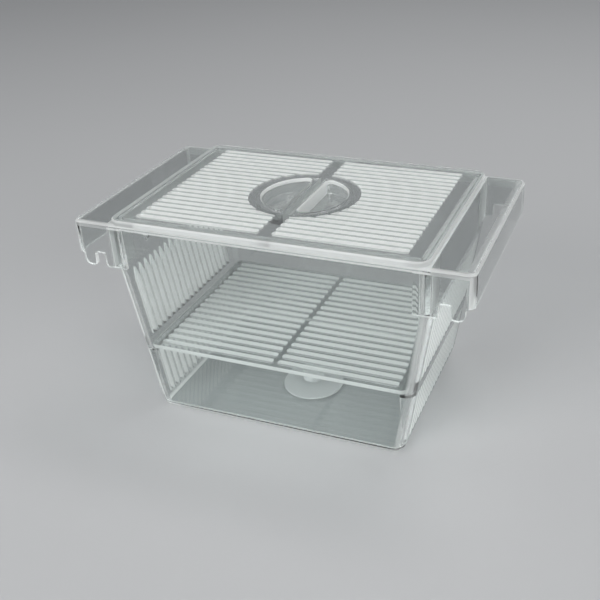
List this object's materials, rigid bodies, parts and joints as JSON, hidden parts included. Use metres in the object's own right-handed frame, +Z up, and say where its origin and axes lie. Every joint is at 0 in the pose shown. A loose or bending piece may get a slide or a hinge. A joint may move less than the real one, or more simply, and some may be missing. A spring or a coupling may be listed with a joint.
{
  "type": "fish breeding box",
  "caption": "Clear floating fish breeding box: slotted tub with hollow float wings, slotted lid with finger wells, lift-out separator grid and suction cup.",
  "frame": {"origin": "underside of the tub's floor, at the centre of the box's length and depth", "axes": "+X along the box's length from wing to wing, +Y from front to back, +Z up"},
  "size_m": [0.188, 0.106, 0.102],
  "materials": {
    "clear_tub": "clear polished plastic",
    "clear_lid": "clear polished plastic",
    "clear_grid": "clear polished plastic",
    "soft_cup": "soft clear rubber, satin"
  },
  "bodies": {
    "tub": {"tub": "clear_tub"},
    "lid": {"lid": "clear_lid"},
    "grid": {"grid": "clear_grid"},
    "cup": {"suction_cup": "soft_cup"}
  },
  "joints": [
    {"name": "lid_lift", "type": "slide", "parent": "tub", "child": "lid", "axis": [0, 0, 1], "range_m": [0, 0.22]},
    {"name": "grid_lift", "type": "slide", "parent": "tub", "child": "grid", "axis": [0, 0, 1], "range_m": [0, 0.154]},
    {"name": "cup_lift", "type": "slide", "parent": "tub", "child": "cup", "axis": [0, 0, 1], "range_m": [0, 0.11]}
  ],
  "couplings": [
    {"joint": "grid_lift", "follows": "lid_lift", "ratio": 0.7},
    {"joint": "cup_lift", "follows": "lid_lift", "ratio": 0.5}
  ]
}
